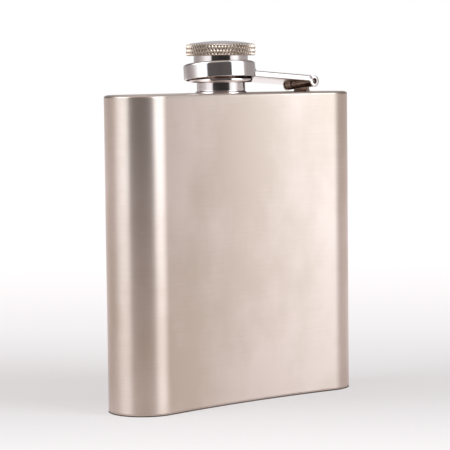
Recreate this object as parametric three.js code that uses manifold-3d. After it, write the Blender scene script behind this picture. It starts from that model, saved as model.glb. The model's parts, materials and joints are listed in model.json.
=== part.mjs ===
// Hip flask: a pocket flask of curved section with a captive screw cap on a hinged arm.
// Millimetres, +Z up. The origin is on the resting surface, under the middle of the flask.
// The hip side, which is hollow, faces -Y. The hinge of the arm is towards +X.

import * as THREE from "three";
import { mergeVertices } from "three/addons/utils/BufferGeometryUtils.js";
import Module from "manifold-3d";

const wasm = await Module();
wasm.setup();

// ---------------------------------------------------------------- driving dimensions

// Body: the section of the flask, and its height from the resting face to the top plate.
const BODY_WIDTH = 93;
const BODY_DEPTH = 25;
const BODY_HEIGHT = 97.4;
const HIP_FACE_RADIUS = 287;
const OUTER_FACE_RADIUS = 175;
const HIP_CORNER_RADIUS = 11.1;
const OUTER_CORNER_RADIUS = 12.4;
const SHELL_WALL = 0.6;

// End plates: pressed pans whose lips stand inside the shell.
const PLATE_THICKNESS = 0.7;
const PLATE_LIP_DEPTH = 2.2;
const TOP_EDGE_INSET = 1.5;
const TOP_EDGE_DROP = 0.5;
const BOTTOM_EDGE_INSET = 0.6;
const BOTTOM_EDGE_RISE = 0.4;

// Neck: a turned piece welded through the top plate, with a plain spout inside the cap.
const NECK_OFFSET = 0.9;
const NECK_DIAMETER = 15.4;
const NECK_BELOW_PLATE = 1.2;
const NECK_INTO_SKIRT = 0.5;
const SPOUT_WALL = 1.4;
const THREAD_CLEARANCE = 0.8;

// Cap: a knurled head over a skirt with a flared rim, lined with a threaded insert.
const RIM_ABOVE_PLATE = 3.3;
const RIM_FLARE = 1.5;
const RIM_HEIGHT = 1.7;
const SKIRT_WALL = 0.6;
const SKIRT_INTO_HEAD = 1;
const HEAD_OVERHANG = 2.4;
const HEAD_SIDE_HEIGHT = 3.6;
const HEAD_EDGE_RADIUS = 0.5;
const HEAD_DOME_HEIGHT = 1.1;
const HEAD_ABOVE_COLLAR = 2.4;
const LINER_WALL = 0.7;
const LINER_HEIGHT = 4.5;
const SEAL_THICKNESS = 1;

// Arm: a pressed collar round the cap, and a forked bar from it back to the hinge.
const COLLAR_HEIGHT = 5;
const COLLAR_EDGE_RADIUS = 0.7;
const COLLAR_ABOVE_RIM = 1.1;
const COLLAR_ROUND_RIM = 0.8;
const COLLAR_ROUND_STEM = 0.85;
const COLLAR_OVERREACH = 0.55;
const COLLAR_FILLET_LENGTH = 0.7;
const COLLAR_FILLET_HEIGHT = 2.4;
const ARM_SHEET = 0.5;
const ARM_WIDTH = 13.8;
const ARM_DEPTH = 1.95;

// Hinge: the pin runs across the flask, and the whole arm leans a little with it.
const PIN_REACH = 33.7;
const PIN_DIAMETER = 1.2;
const PIN_RECESS = 0.35;
const KNUCKLE_DIAMETER = 3.5;
const EYE_MARGIN = 0.1;
const EYE_ABOVE_PLATE = 0.25;
const SPACER_LENGTH = 3;
const FOOT_LENGTH = 2.2;
const FOOT_THICKNESS = 0.6;
const FOOT_SETBACK = 2.6;
const FOOT_END_SETBACK = 0.3;
const SADDLE_THICKNESS = 1.2;
const HINGE_LEAN_DEG = 5.3;
const ARM_PITCH_DEG = 4.2;
const COLLAR_PITCH_DEG = 1.2;

// Clearance between pieces that touch, turn on each other or are pressed or welded together.
const FIT_GAP = 0.3;

// Facets on round work, and on the arcs of the body's section.
const ROUND_SEGMENTS = 48;
const PIN_SEGMENTS = 20;
const FACE_SEGMENTS = 16;
const CORNER_SEGMENTS = 8;
const EDGE_SEGMENTS = 4;

// ---------------------------------------------------------------- fits, heights and places

// Round fits, from the neck outwards and from the skirt inwards.
const neckRadius = NECK_DIAMETER / 2;
const skirtBore = neckRadius + FIT_GAP;
const stemRadius = skirtBore + SKIRT_WALL;
const rimRadius = stemRadius + RIM_FLARE;
const headRadius = stemRadius + HEAD_OVERHANG;
const collarHole = stemRadius + COLLAR_ROUND_STEM;
const collarBore = rimRadius + COLLAR_ROUND_RIM;
const collarRadius = collarBore + ARM_SHEET;
const linerRadius = skirtBore - FIT_GAP;
const linerBore = linerRadius - LINER_WALL;
const sealRadius = linerBore - FIT_GAP;
const spoutRadius = linerBore - THREAD_CLEARANCE;
const mouthRadius = spoutRadius - SPOUT_WALL;
const eyeRadius = KNUCKLE_DIAMETER / 2 + EYE_MARGIN;
const pinHole = PIN_DIAMETER + 2 * FIT_GAP;

// Heights above the resting face.
const shellBottom = BOTTOM_EDGE_RISE + FIT_GAP;
const shellTop = BODY_HEIGHT - TOP_EDGE_DROP - FIT_GAP;
const rimBottom = BODY_HEIGHT + RIM_ABOVE_PLATE;
const neckShoulder = rimBottom + NECK_INTO_SKIRT;
const collarMiddle = rimBottom + COLLAR_ABOVE_RIM + COLLAR_HEIGHT / 2;
const headBottom = rimBottom + COLLAR_ABOVE_RIM + COLLAR_HEIGHT + HEAD_ABOVE_COLLAR;
const linerTop = headBottom - FIT_GAP;
const sealBottom = linerTop - SEAL_THICKNESS;
const spoutTop = sealBottom - FIT_GAP;

// The hinge leans about X, so its low end is the one that sets how high the pin stands.
const hingeLean = THREE.MathUtils.degToRad(HINGE_LEAN_DEG);
const armPitch = THREE.MathUtils.degToRad(ARM_PITCH_DEG);
const collarPitch = THREE.MathUtils.degToRad(COLLAR_PITCH_DEG);
const pinAbovePlate = EYE_ABOVE_PLATE + eyeRadius + (ARM_WIDTH / 2) * Math.sin(hingeLean);
const pinCentreHeight = BODY_HEIGHT + pinAbovePlate;
const collarAbovePin = (collarMiddle - pinCentreHeight) / Math.cos(hingeLean);

// ---------------------------------------------------------------- the body's section

// Centre heights (along Y) of the two corner arcs at one end of the section.
function cornerCentres(hipCorner, outerCorner, inset) {
  const halfWidth = BODY_WIDTH / 2 - inset;
  const halfDepth = BODY_DEPTH / 2 - inset;
  const hipX = halfWidth - hipCorner;
  const outerX = halfWidth - outerCorner;
  const hipArc = HIP_FACE_RADIUS + inset;
  const outerArc = OUTER_FACE_RADIUS - inset;
  const hipArcCentre = -halfDepth - hipArc;
  const outerArcCentre = halfDepth - outerArc;
  const hipY = hipArcCentre + Math.sqrt((hipArc + hipCorner) ** 2 - hipX ** 2);
  const outerY = outerArcCentre + Math.sqrt((outerArc - outerCorner) ** 2 - outerX ** 2);
  return { hipX, hipY, hipArcCentre, outerX, outerY, outerArcCentre };
}

// The corner arcs are limited so that the two at one end don't overlap.
function cornerScaleThatFits() {
  let scale = 1;
  for (let tries = 0; tries < 60; tries += 1) {
    const { hipY, outerY } = cornerCentres(HIP_CORNER_RADIUS * scale, OUTER_CORNER_RADIUS * scale, 0);
    if (outerY >= hipY) {
      break;
    }
    scale *= 0.99;
  }
  return scale;
}

const cornerScale = cornerScaleThatFits();
const hipCornerRadius = HIP_CORNER_RADIUS * cornerScale;
const outerCornerRadius = OUTER_CORNER_RADIUS * cornerScale;

function arcPoints(centreX, centreY, radius, fromAngle, toAngle, segments) {
  const points = [];
  for (let i = 0; i <= segments; i += 1) {
    const angle = fromAngle + (toAngle - fromAngle) * (i / segments);
    points.push(new THREE.Vector2(centreX + radius * Math.cos(angle), centreY + radius * Math.sin(angle)));
  }
  return points;
}

// One outline of the section, counterclockwise, moved inwards everywhere by inset.
function rawOutline(inset) {
  const hipCorner = hipCornerRadius - inset;
  const outerCorner = outerCornerRadius - inset;
  const c = cornerCentres(hipCorner, outerCorner, inset);
  const hipTouch = Math.atan2(c.hipArcCentre - c.hipY, -c.hipX);
  const outerTouch = Math.atan2(c.outerY - c.outerArcCentre, c.outerX);
  const rightEnd = [
    ...arcPoints(c.hipX, c.hipY, hipCorner, hipTouch, 0, CORNER_SEGMENTS),
    ...arcPoints(c.outerX, c.outerY, outerCorner, 0, outerTouch, CORNER_SEGMENTS),
  ];
  const outerFace = arcPoints(
    0,
    c.outerArcCentre,
    OUTER_FACE_RADIUS - inset,
    outerTouch,
    Math.PI - outerTouch,
    FACE_SEGMENTS,
  ).slice(1, -1);
  const leftEnd = rightEnd.map((p) => new THREE.Vector2(-p.x, p.y)).reverse();
  const hipFace = arcPoints(
    0,
    c.hipArcCentre,
    HIP_FACE_RADIUS + inset,
    -hipTouch,
    hipTouch + Math.PI,
    FACE_SEGMENTS,
  ).slice(1, -1);
  return [...rightEnd, ...outerFace, ...leftEnd, ...hipFace];
}

// The section is placed so that the middle of its depth is on the X axis.
const sectionBox = new THREE.Box2().setFromPoints(rawOutline(0));
const sectionShift = -(sectionBox.min.y + sectionBox.max.y) / 2;
const neckY = sectionShift + NECK_OFFSET;

function outline(inset) {
  return rawOutline(inset).map((p) => new THREE.Vector2(p.x, p.y + sectionShift));
}

// ---------------------------------------------------------------- solids

function geometryFrom(positions, triangles) {
  const geometry = new THREE.BufferGeometry();
  geometry.setAttribute("position", new THREE.Float32BufferAttribute(positions, 3));
  geometry.setIndex(triangles);
  return geometry;
}

// A skin over a stack of outlines with the same number of points. Each level is an inset and a height.
// With closed ends the first and last outlines are filled; otherwise the last level joins the first.
function loft(levels, closedEnds) {
  const rings = levels.map(({ inset, z }) => outline(inset).map((p) => [p.x, p.y, z]));
  const count = rings[0].length;
  const triangles = [];
  const bands = closedEnds ? rings.length - 1 : rings.length;
  for (let band = 0; band < bands; band += 1) {
    const lower = band * count;
    const upper = ((band + 1) % rings.length) * count;
    for (let i = 0; i < count; i += 1) {
      const next = (i + 1) % count;
      triangles.push(lower + i, lower + next, upper + next, lower + i, upper + next, upper + i);
    }
  }
  if (closedEnds) {
    const lastRing = (rings.length - 1) * count;
    const fill = (level) => THREE.ShapeUtils.triangulateShape(outline(level.inset), []);
    fill(levels[0]).forEach(([a, b, c]) => triangles.push(a, c, b));
    fill(levels.at(-1)).forEach(([a, b, c]) => triangles.push(lastRing + a, lastRing + b, lastRing + c));
  }
  return geometryFrom(rings.flat(2), triangles);
}

// A turned piece: the profile is a closed loop, or runs from axis to axis, in [radius, height] pairs.
function turned(profile, segments = ROUND_SEGMENTS) {
  return new THREE.LatheGeometry(profile.map(([r, z]) => new THREE.Vector2(r, z)), segments).rotateX(Math.PI / 2);
}

// A round bar along Y, centred on the origin.
function barAlongY(diameter, length) {
  return new THREE.CylinderGeometry(diameter / 2, diameter / 2, length, PIN_SEGMENTS);
}

// A flat outline in the XZ plane, given a thickness along Y and centred on it.
function plateInXZ(points, width) {
  const shape = new THREE.Shape(points.map(([x, z]) => new THREE.Vector2(x, z)));
  const geometry = new THREE.ExtrudeGeometry(shape, { depth: width, bevelEnabled: false });
  return geometry.translate(0, 0, -width / 2).rotateX(Math.PI / 2);
}

function solid(geometry) {
  const bare = geometry.clone();
  bare.deleteAttribute("normal");
  bare.deleteAttribute("uv");
  const merged = mergeVertices(bare, 1e-5);
  return new wasm.Manifold(
    new wasm.Mesh({
      numProp: 3,
      vertProperties: new Float32Array(merged.attributes.position.array),
      triVerts: new Uint32Array(merged.index.array),
    }),
  );
}

function geometryOf(manifold) {
  const mesh = manifold.getMesh();
  return geometryFrom(Array.from(mesh.vertProperties), Array.from(mesh.triVerts));
}

function joined(...geometries) {
  return geometries.map(solid).reduce((whole, piece) => whole.add(piece));
}

// ---------------------------------------------------------------- finishes

function metal(color, roughness) {
  return new THREE.MeshStandardMaterial({ color, roughness, metalness: 1 });
}

const brushedSteel = metal(0xc9c2bb, 0.34);
const polishedSteel = metal(0xd8d2cc, 0.14);
const knurledSteel = metal(0xb9aa9a, 0.3);
const bronzedSteel = metal(0x6d5a4b, 0.28);
const whitePlastic = new THREE.MeshStandardMaterial({ color: 0xe9e7e0, roughness: 0.5, metalness: 0 });
const sealRubber = new THREE.MeshStandardMaterial({ color: 0xd9d6cf, roughness: 0.7, metalness: 0 });

// ---------------------------------------------------------------- body

// The shell is one wrapped sheet, open at both ends.
function bodyShell() {
  const levels = [
    { inset: 0, z: shellBottom },
    { inset: 0, z: shellTop },
    { inset: SHELL_WALL, z: shellTop },
    { inset: SHELL_WALL, z: shellBottom },
  ];
  return loft(levels, false);
}

// Levels of a pressed pan, listed from the middle of its inner face round the lip to its outer face.
// Heights are measured into the flask from the outer face.
function panLevels(edgeInset, edgeDrop) {
  const lipOutside = SHELL_WALL + FIT_GAP;
  const lipInside = lipOutside + PLATE_THICKNESS;
  const lipEnd = edgeDrop + PLATE_LIP_DEPTH;
  const rounded = [];
  for (let i = 0; i <= EDGE_SEGMENTS; i += 1) {
    const angle = (Math.PI / 2) * (i / EDGE_SEGMENTS);
    rounded.push({ inset: edgeInset * (1 - Math.cos(angle)), depth: edgeDrop * (1 - Math.sin(angle)) });
  }
  return [
    { inset: lipInside, depth: PLATE_THICKNESS },
    { inset: lipInside, depth: lipEnd },
    { inset: lipOutside, depth: lipEnd },
    { inset: lipOutside, depth: edgeDrop },
    ...rounded,
  ];
}

function topPlate() {
  const levels = panLevels(TOP_EDGE_INSET, TOP_EDGE_DROP).map(({ inset, depth }) => ({
    inset,
    z: BODY_HEIGHT - depth,
  }));
  const holeRadius = neckRadius + FIT_GAP;
  const hole = new THREE.CylinderGeometry(holeRadius, holeRadius, 4 * PLATE_THICKNESS, ROUND_SEGMENTS);
  hole.rotateX(Math.PI / 2).translate(0, neckY, BODY_HEIGHT);
  return geometryOf(solid(loft(levels, true)).subtract(solid(hole)));
}

function bottomPlate() {
  const levels = panLevels(BOTTOM_EDGE_INSET, BOTTOM_EDGE_RISE)
    .map(({ inset, depth }) => ({ inset, z: depth }))
    .reverse();
  return loft(levels, true);
}

// ---------------------------------------------------------------- neck

function neck() {
  const bottom = BODY_HEIGHT - PLATE_THICKNESS - NECK_BELOW_PLATE;
  const lipRound = 0.4;
  const shoulderBreak = 0.3;
  return turned([
    [mouthRadius, bottom],
    [neckRadius, bottom],
    [neckRadius, neckShoulder - shoulderBreak],
    [neckRadius - shoulderBreak, neckShoulder],
    [spoutRadius, neckShoulder],
    [spoutRadius, spoutTop - lipRound],
    [spoutRadius - lipRound, spoutTop],
    [mouthRadius + lipRound, spoutTop],
    [mouthRadius, spoutTop - lipRound],
    [mouthRadius, bottom],
  ]);
}

// ---------------------------------------------------------------- cap

// The head is solid, with a groove underneath that the skirt is pressed into.
function capHead() {
  const headTop = headBottom + HEAD_SIDE_HEIGHT;
  const grooveTop = headBottom + SKIRT_INTO_HEAD + FIT_GAP;
  const domeRadius = headRadius - HEAD_EDGE_RADIUS;
  const profile = [
    [0, headBottom],
    [skirtBore - FIT_GAP, headBottom],
    [skirtBore - FIT_GAP, grooveTop],
    [stemRadius + FIT_GAP, grooveTop],
    [stemRadius + FIT_GAP, headBottom],
    [headRadius - HEAD_EDGE_RADIUS, headBottom],
    [headRadius, headBottom + HEAD_EDGE_RADIUS],
    [headRadius, headTop - HEAD_EDGE_RADIUS],
    [domeRadius, headTop],
  ];
  for (let i = 1; i < EDGE_SEGMENTS; i += 1) {
    const share = 1 - i / EDGE_SEGMENTS;
    profile.push([domeRadius * share, headTop + HEAD_DOME_HEIGHT * (1 - share ** 2)]);
  }
  profile.push([0, headTop + HEAD_DOME_HEIGHT]);
  return turned(profile);
}

// The skirt is a sleeve whose lower end flares to a rounded rim, which keeps the cap in the collar.
function capSkirt() {
  const rimRound = RIM_HEIGHT / 2;
  const sleeveTop = headBottom + SKIRT_INTO_HEAD;
  const profile = [[skirtBore, rimBottom]];
  for (let i = 0; i <= EDGE_SEGMENTS * 2; i += 1) {
    const angle = -Math.PI / 2 + Math.PI * (i / (EDGE_SEGMENTS * 2));
    const radius = rimRadius - rimRound + rimRound * Math.cos(angle);
    profile.push([radius, rimBottom + rimRound + rimRound * Math.sin(angle)]);
  }
  profile.push([stemRadius, rimBottom + RIM_HEIGHT]);
  profile.push([stemRadius, sleeveTop]);
  profile.push([skirtBore, sleeveTop]);
  profile.push([skirtBore, rimBottom]);
  return turned(profile);
}

function threadLiner() {
  return turned([
    [linerBore, linerTop - LINER_HEIGHT],
    [linerRadius, linerTop - LINER_HEIGHT],
    [linerRadius, linerTop],
    [linerBore, linerTop],
    [linerBore, linerTop - LINER_HEIGHT],
  ]);
}

function sealDisc() {
  return turned([
    [0, sealBottom],
    [sealRadius, sealBottom],
    [sealRadius, linerTop],
    [0, linerTop],
  ]);
}

// ---------------------------------------------------------------- arm and hinge
// These are made in the hinge's own frame: the pin lies on the Y axis and the arm runs towards -X.

const knuckleZone = ARM_WIDTH - 2 * ARM_SHEET - 2 * FIT_GAP;
const knuckleLength = knuckleZone - SPACER_LENGTH - FIT_GAP;
const knuckleMiddle = -knuckleZone / 2 + knuckleLength / 2;
const spacerMiddle = knuckleZone / 2 - SPACER_LENGTH / 2;

// A turned piece in the collar's place, on the collar's own tilted axis.
function inCollar(geometry) {
  return geometry.rotateY(collarPitch).translate(-PIN_REACH - COLLAR_OVERREACH, 0, collarAbovePin);
}

function collarOutside() {
  const top = COLLAR_HEIGHT / 2;
  const roundCentre = collarRadius - COLLAR_EDGE_RADIUS;
  const profile = [[0, -top], [collarRadius, -top]];
  for (let i = 0; i <= EDGE_SEGMENTS; i += 1) {
    const angle = (Math.PI / 2) * (i / EDGE_SEGMENTS);
    const radius = roundCentre + COLLAR_EDGE_RADIUS * Math.cos(angle);
    profile.push([radius, top - COLLAR_EDGE_RADIUS + COLLAR_EDGE_RADIUS * Math.sin(angle)]);
  }
  profile.push([0, top]);
  return inCollar(turned(profile));
}

function collarInside() {
  const top = COLLAR_HEIGHT / 2;
  const beyond = top + 1;
  return inCollar(turned([
    [0, -beyond],
    [collarBore, -beyond],
    [collarBore, top - ARM_SHEET],
    [collarHole, top - ARM_SHEET],
    [collarHole, beyond],
    [0, beyond],
  ]));
}

// A cone round the foot of the collar's wall, kept only across the arm's width.
function collarFillet() {
  const lower = ARM_DEPTH - COLLAR_HEIGHT / 2;
  const cone = turned([
    [0, lower],
    [collarRadius + COLLAR_FILLET_LENGTH, lower],
    [collarRadius, lower + COLLAR_FILLET_HEIGHT],
    [0, lower + COLLAR_FILLET_HEIGHT],
  ]);
  const acrossArm = new THREE.BoxGeometry(2 * collarRadius, ARM_WIDTH, 2 * COLLAR_HEIGHT);
  acrossArm.translate(collarRadius, 0, 0);
  return solid(inCollar(cone)).intersect(solid(inCollar(acrossArm)));
}

// The arm is a solid bar, forked at its pin end, with an eye on each side of the knuckle.
function collarArm() {
  const collarEdge = collarRadius - PIN_REACH - COLLAR_OVERREACH;
  const intoCollar = collarEdge - collarRadius / 3;
  const top = eyeRadius;
  const bottom = top - ARM_DEPTH;
  const forkStart = -(KNUCKLE_DIAMETER / 2 + 2 * FIT_GAP);
  const forkGap = ARM_WIDTH - 2 * ARM_SHEET;
  const bar = plateInXZ([[intoCollar, bottom], [0, bottom], [0, top], [intoCollar, top]], ARM_WIDTH);
  const eyes = barAlongY(2 * eyeRadius, ARM_WIDTH);
  const knuckleRoom = new THREE.BoxGeometry(2 * eyeRadius - forkStart, forkGap, 4 * eyeRadius);
  knuckleRoom.translate(eyeRadius + forkStart / 2, 0, 0);
  const pinWay = barAlongY(pinHole, ARM_WIDTH + 2);
  const pitched = (geometry) => geometry.rotateY(armPitch);
  return geometryOf(
    joined(pitched(bar), pitched(eyes), collarOutside())
      .add(collarFillet())
      .subtract(solid(pitched(knuckleRoom)))
      .subtract(solid(pinWay))
      .subtract(solid(collarInside())),
  );
}

// The bracket is a foot on the top plate, a saddle standing on it, and a knuckle round the pin.
function hingeBracket() {
  const footUnderside = FIT_GAP - pinAbovePlate;
  const footWidth = knuckleLength - FOOT_SETBACK - FOOT_END_SETBACK;
  const footMiddle = knuckleMiddle + (FOOT_SETBACK - FOOT_END_SETBACK) / 2;
  const upright = (geometry) => geometry.translate(0, footMiddle, 0).rotateX(hingeLean);
  const knuckle = barAlongY(KNUCKLE_DIAMETER, knuckleLength).translate(0, knuckleMiddle, 0);
  const foot = new THREE.BoxGeometry(FOOT_LENGTH, footWidth, FOOT_THICKNESS);
  foot.translate(0, 0, footUnderside + FOOT_THICKNESS / 2);
  const saddle = new THREE.BoxGeometry(SADDLE_THICKNESS, footWidth, -footUnderside);
  saddle.translate(0, 0, footUnderside / 2);
  const pinBore = barAlongY(pinHole, knuckleLength + 2).translate(0, knuckleMiddle, 0);
  return geometryOf(joined(knuckle, upright(foot), upright(saddle)).subtract(solid(pinBore)));
}

function hingeSpacer() {
  const ring = barAlongY(KNUCKLE_DIAMETER, SPACER_LENGTH).translate(0, spacerMiddle, 0);
  const bore = barAlongY(pinHole, SPACER_LENGTH + 2).translate(0, spacerMiddle, 0);
  return geometryOf(solid(ring).subtract(solid(bore)));
}

function hingePin() {
  return barAlongY(PIN_DIAMETER, ARM_WIDTH - 2 * PIN_RECESS);
}

// ---------------------------------------------------------------- assembly

function piece(name, geometry, material) {
  const mesh = new THREE.Mesh(geometry, material);
  mesh.name = name;
  return mesh;
}

const flask = new THREE.Group();
flask.add(piece("body_shell", bodyShell(), brushedSteel));
flask.add(piece("top_plate", topPlate(), brushedSteel));
flask.add(piece("bottom_plate", bottomPlate(), brushedSteel));

const neckAxis = new THREE.Group();
neckAxis.position.set(0, neckY, 0);
neckAxis.add(piece("neck", neck(), polishedSteel));
neckAxis.add(piece("cap_head", capHead(), knurledSteel));
neckAxis.add(piece("cap_skirt", capSkirt(), polishedSteel));
neckAxis.add(piece("thread_liner", threadLiner(), whitePlastic));
neckAxis.add(piece("seal_disc", sealDisc(), sealRubber));
flask.add(neckAxis);

const hinge = new THREE.Group();
hinge.position.set(PIN_REACH, neckY - collarAbovePin * Math.sin(hingeLean), pinCentreHeight);
hinge.rotation.x = -hingeLean;
hinge.add(piece("collar_arm", collarArm(), polishedSteel));
hinge.add(piece("hinge_bracket", hingeBracket(), bronzedSteel));
hinge.add(piece("hinge_spacer", hingeSpacer(), bronzedSteel));
hinge.add(piece("hinge_pin", hingePin(), bronzedSteel));
flask.add(hinge);

export default flask;
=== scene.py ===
"""Hip flask: the looks of a brushed steel flask with a captive screw cap, built round its CAD frame.

Shapes are worked out in millimetres on whole numpy arrays and turned into metres in the mesh.
"""

import json
import math

import bmesh
import bpy
import numpy as np
from mathutils import Matrix, Vector


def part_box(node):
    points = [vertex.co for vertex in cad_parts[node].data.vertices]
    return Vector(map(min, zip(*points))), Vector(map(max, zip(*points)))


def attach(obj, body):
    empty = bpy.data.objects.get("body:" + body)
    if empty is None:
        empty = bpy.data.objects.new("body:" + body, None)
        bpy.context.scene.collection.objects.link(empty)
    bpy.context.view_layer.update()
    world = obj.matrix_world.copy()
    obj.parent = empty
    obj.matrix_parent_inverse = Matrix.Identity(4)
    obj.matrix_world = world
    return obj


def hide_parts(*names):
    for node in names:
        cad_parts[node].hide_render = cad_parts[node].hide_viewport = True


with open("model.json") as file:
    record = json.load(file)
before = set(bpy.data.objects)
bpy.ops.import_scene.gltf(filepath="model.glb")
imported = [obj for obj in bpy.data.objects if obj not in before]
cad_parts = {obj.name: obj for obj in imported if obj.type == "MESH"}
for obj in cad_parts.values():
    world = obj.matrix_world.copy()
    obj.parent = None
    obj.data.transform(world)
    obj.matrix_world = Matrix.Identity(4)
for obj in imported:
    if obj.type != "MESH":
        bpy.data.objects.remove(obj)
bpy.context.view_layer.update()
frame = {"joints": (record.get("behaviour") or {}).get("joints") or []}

MM = 0.001
TAU = 2 * math.pi

# ---------------------------------------------------------------- camera

# The camera stands in front of the flask's left end, a little above its cap's foot.
CAMERA_PLACE = (-0.40671, -0.48730, 0.10486)
CAMERA_HEADING = math.radians(39.806)
CAMERA_DIP = math.radians(4.455)
CAMERA_ROLL = math.radians(-0.644)
CAMERA_LENS = 159.83
CAMERA_SENSOR = 36.0
CAMERA_AZIMUTH = -39.8


def make_camera():
    """right = (cos h, -sin h, 0) turned by the roll, up = right x forward, with h the heading."""
    forward = Vector((
        math.sin(CAMERA_HEADING) * math.cos(CAMERA_DIP),
        math.cos(CAMERA_HEADING) * math.cos(CAMERA_DIP),
        -math.sin(CAMERA_DIP),
    ))
    level = Vector((math.cos(CAMERA_HEADING), -math.sin(CAMERA_HEADING), 0))
    right = level * math.cos(CAMERA_ROLL) + level.cross(forward) * math.sin(CAMERA_ROLL)
    up = right.cross(forward)
    data = bpy.data.cameras.new("camera")
    data.lens = CAMERA_LENS
    data.sensor_width = CAMERA_SENSOR
    data.clip_start = 0.05
    data.clip_end = 50
    camera = bpy.data.objects.new("camera", data)
    turn = Matrix((right, up, -forward)).transposed().to_4x4()
    camera.matrix_world = Matrix.Translation(CAMERA_PLACE) @ turn
    bpy.context.scene.collection.objects.link(camera)
    bpy.context.scene.camera = camera


# ---------------------------------------------------------------- sizes, in millimetres


def box_mm(node):
    low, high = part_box(node)
    return np.array(low) / MM, np.array(high) / MM


shell_low, shell_high = box_mm("body_shell")
plate_low, plate_high = box_mm("top_plate")
base_low, base_high = box_mm("bottom_plate")
neck_low, neck_high = box_mm("neck")
head_low, head_high = box_mm("cap_head")
skirt_low, skirt_high = box_mm("cap_skirt")
liner_low, liner_high = box_mm("thread_liner")
seal_low, seal_high = box_mm("seal_disc")

# The flask's section: two wide faces and two corner arcs at each end.
HIP_FACE_RADIUS = 287
OUTER_FACE_RADIUS = 175
HIP_CORNER_RADIUS = 10.989
OUTER_CORNER_RADIUS = 12.276
BODY_DEPTH = 25
SHELL_WALL = 0.6
SHELL_EDGE = 0.05
WAVE_HEIGHT = 0.018
FIT_GAP = 0.3

# End plates. An edge is (inset, drop) of its quarter ellipse.
PLATE_THICKNESS = 0.7
PLATE_LIP_DEPTH = 2.2
PLATE_HOLE_EDGE = 0.15
SEAM = 0.03
TOP_EDGE = (1.5, 0.5)
BOTTOM_EDGE = (0.6, 0.4)

# Neck and cap.
cap_axis = (head_low[:2] + head_high[:2]) / 2
NECK_RADIUS = (neck_high[0] - neck_low[0]) / 2
LINER_RADIUS = (liner_high[0] - liner_low[0]) / 2
SKIRT_BORE = NECK_RADIUS + FIT_GAP
STEM_RADIUS = SKIRT_BORE + 0.6
RIM_RADIUS = (skirt_high[0] - skirt_low[0]) / 2
RIM_HEIGHT = 1.7
HEAD_RADIUS = (head_high[0] - head_low[0]) / 2
HEAD_SIDE = 3.6
LINER_BORE = LINER_RADIUS - 0.7
SPOUT_RADIUS = LINER_BORE - 0.8
MOUTH_RADIUS = SPOUT_RADIUS - 1.4
SHOULDER = skirt_low[2] + 0.5
THREAD_PITCH = 1.4
SPOUT_THREAD = 0.5
LINER_THREAD = 0.45
KNURLS_ROUND = 64
KNURL_DEPTH = 0.4
KNURL_STEEPNESS = 1.25
DIAMOND_HEIGHT = 2.3 * TAU * HEAD_RADIUS / KNURLS_ROUND

# Collar, arm and hinge, in the hinge's own frame: the pin on Y, the arm towards -X.
swing = next(j for j in frame["joints"] if j["name"] == "arm_swing")
hinge_place = np.array(swing["pos_m"]) / MM
hinge_lean = math.atan2(swing["axis"][2], swing["axis"][1])
ARM_SHEET = 0.5
ARM_WIDTH = 13.8
ARM_DEPTH = 1.95
EYE_RADIUS = 1.85
KNUCKLE_RADIUS = 1.75
PIN_RADIUS = 0.6
PIN_HOLE = 0.9
PIN_LENGTH = 13.1
FORK_START = -2.35
SPACER_LENGTH = 3
EYE_EDGE = 0.14
FOOT_SHORTER = 2.9
FOOT_SHIFT = 1.15
FOOT_FLARE = 0.5
LEG_HALF_WIDTH = 0.6
LEG_TOP = -0.8
COLLAR_HEIGHT = 5
COLLAR_REACH = 34.25
COLLAR_HOLE = STEM_RADIUS + 0.85
COLLAR_BORE = RIM_RADIUS + 0.8
COLLAR_RADIUS = COLLAR_BORE + ARM_SHEET
COLLAR_FILLET = 0.7
FILLET_RISE = 2.4
FILLET_SIDE = 1.2
ARM_PITCH = math.radians(4.2)
COLLAR_PITCH = math.radians(1.2)
collar_middle = skirt_low[2] + 1.1 + COLLAR_HEIGHT / 2
collar_above_pin = (collar_middle - hinge_place[2]) / math.cos(hinge_lean)
collar_place = np.array([-COLLAR_REACH, 0, collar_above_pin])
bar_bottom = EYE_RADIUS - ARM_DEPTH
knuckle_zone = ARM_WIDTH - 2 * ARM_SHEET - 2 * FIT_GAP
knuckle_length = knuckle_zone - SPACER_LENGTH - FIT_GAP
knuckle_middle = (knuckle_length - knuckle_zone) / 2
spacer_middle = (knuckle_zone - SPACER_LENGTH) / 2

# ---------------------------------------------------------------- mesh tools


def grid_faces(rows, columns, wrap_rows=False, wrap_columns=True):
    """Quads (r, c), (r, c+1), (r+1, c+1), (r+1, c) of a grid, with either way closed on itself."""
    r = np.arange(rows if wrap_rows else rows - 1)
    c = np.arange(columns if wrap_columns else columns - 1)
    r, c = np.meshgrid(r, c, indexing="ij")
    r1 = (r + 1) % rows
    c1 = (c + 1) % columns
    corners = [r * columns + c, r * columns + c1, r1 * columns + c1, r1 * columns + c]
    return np.stack(corners, axis=-1).reshape(-1, 4)


def outwards(points, faces):
    """Turns a closed skin's faces outwards: its volume, the sum of a.(b x c)/6, has to be positive."""
    p = points - points.mean(axis=0)
    a, b, c, d = (p[faces[:, k]] for k in range(4))
    volume = np.einsum("ij,ij->i", a, np.cross(b, c)).sum()
    volume += np.einsum("ij,ij->i", a, np.cross(c, d)).sum()
    return faces if volume > 0 else faces[:, ::-1]


def skin(points, wrap_rows=False, wrap_columns=True):
    """One closed skin from a rows x columns x 3 grid of points."""
    rows, columns = points.shape[:2]
    flat = points.reshape(-1, 3)
    return flat, outwards(flat, grid_faces(rows, columns, wrap_rows, wrap_columns))


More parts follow.
